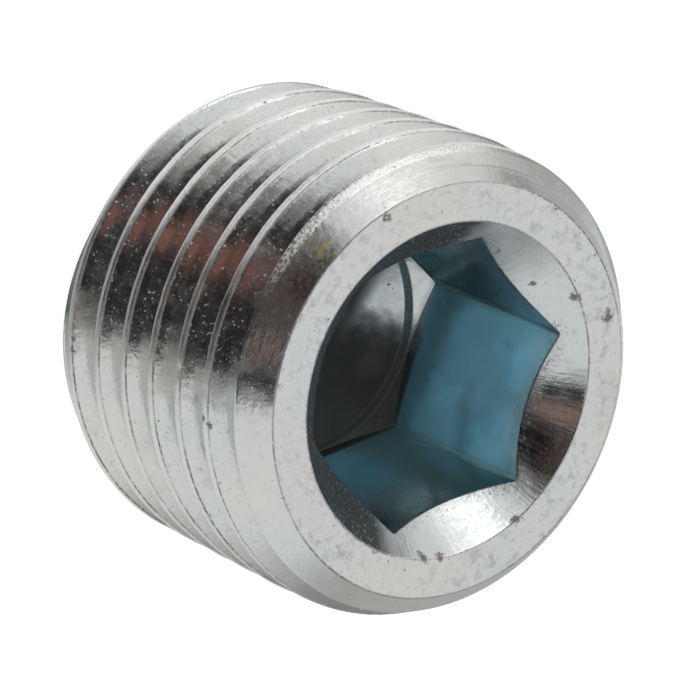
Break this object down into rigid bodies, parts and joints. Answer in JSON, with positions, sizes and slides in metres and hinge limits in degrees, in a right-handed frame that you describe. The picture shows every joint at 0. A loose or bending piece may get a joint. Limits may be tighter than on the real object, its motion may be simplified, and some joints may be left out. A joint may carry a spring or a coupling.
{
  "type": "hex socket plug",
  "caption": "Headless taper pipe plug that seals a threaded port, threaded over its whole length, with a countersunk hexagon key socket in its large end.",
  "frame": {"origin": "centre of the flat small end, which is the lowest point when the plug stands on it", "axes": "+Z along the plug's axis, from the small end to the socket face; +X runs through a corner of the hexagon socket"},
  "size_m": [0.0133, 0.0134, 0.0096],
  "materials": {
    "zinc_plated_steel": "bright zinc plating with a faint blue passivation, bluer inside the socket, with dirt specks along the thread"
  },
  "bodies": {
    "root": {"plug_body": "zinc_plated_steel"}
  },
  "joints": []
}
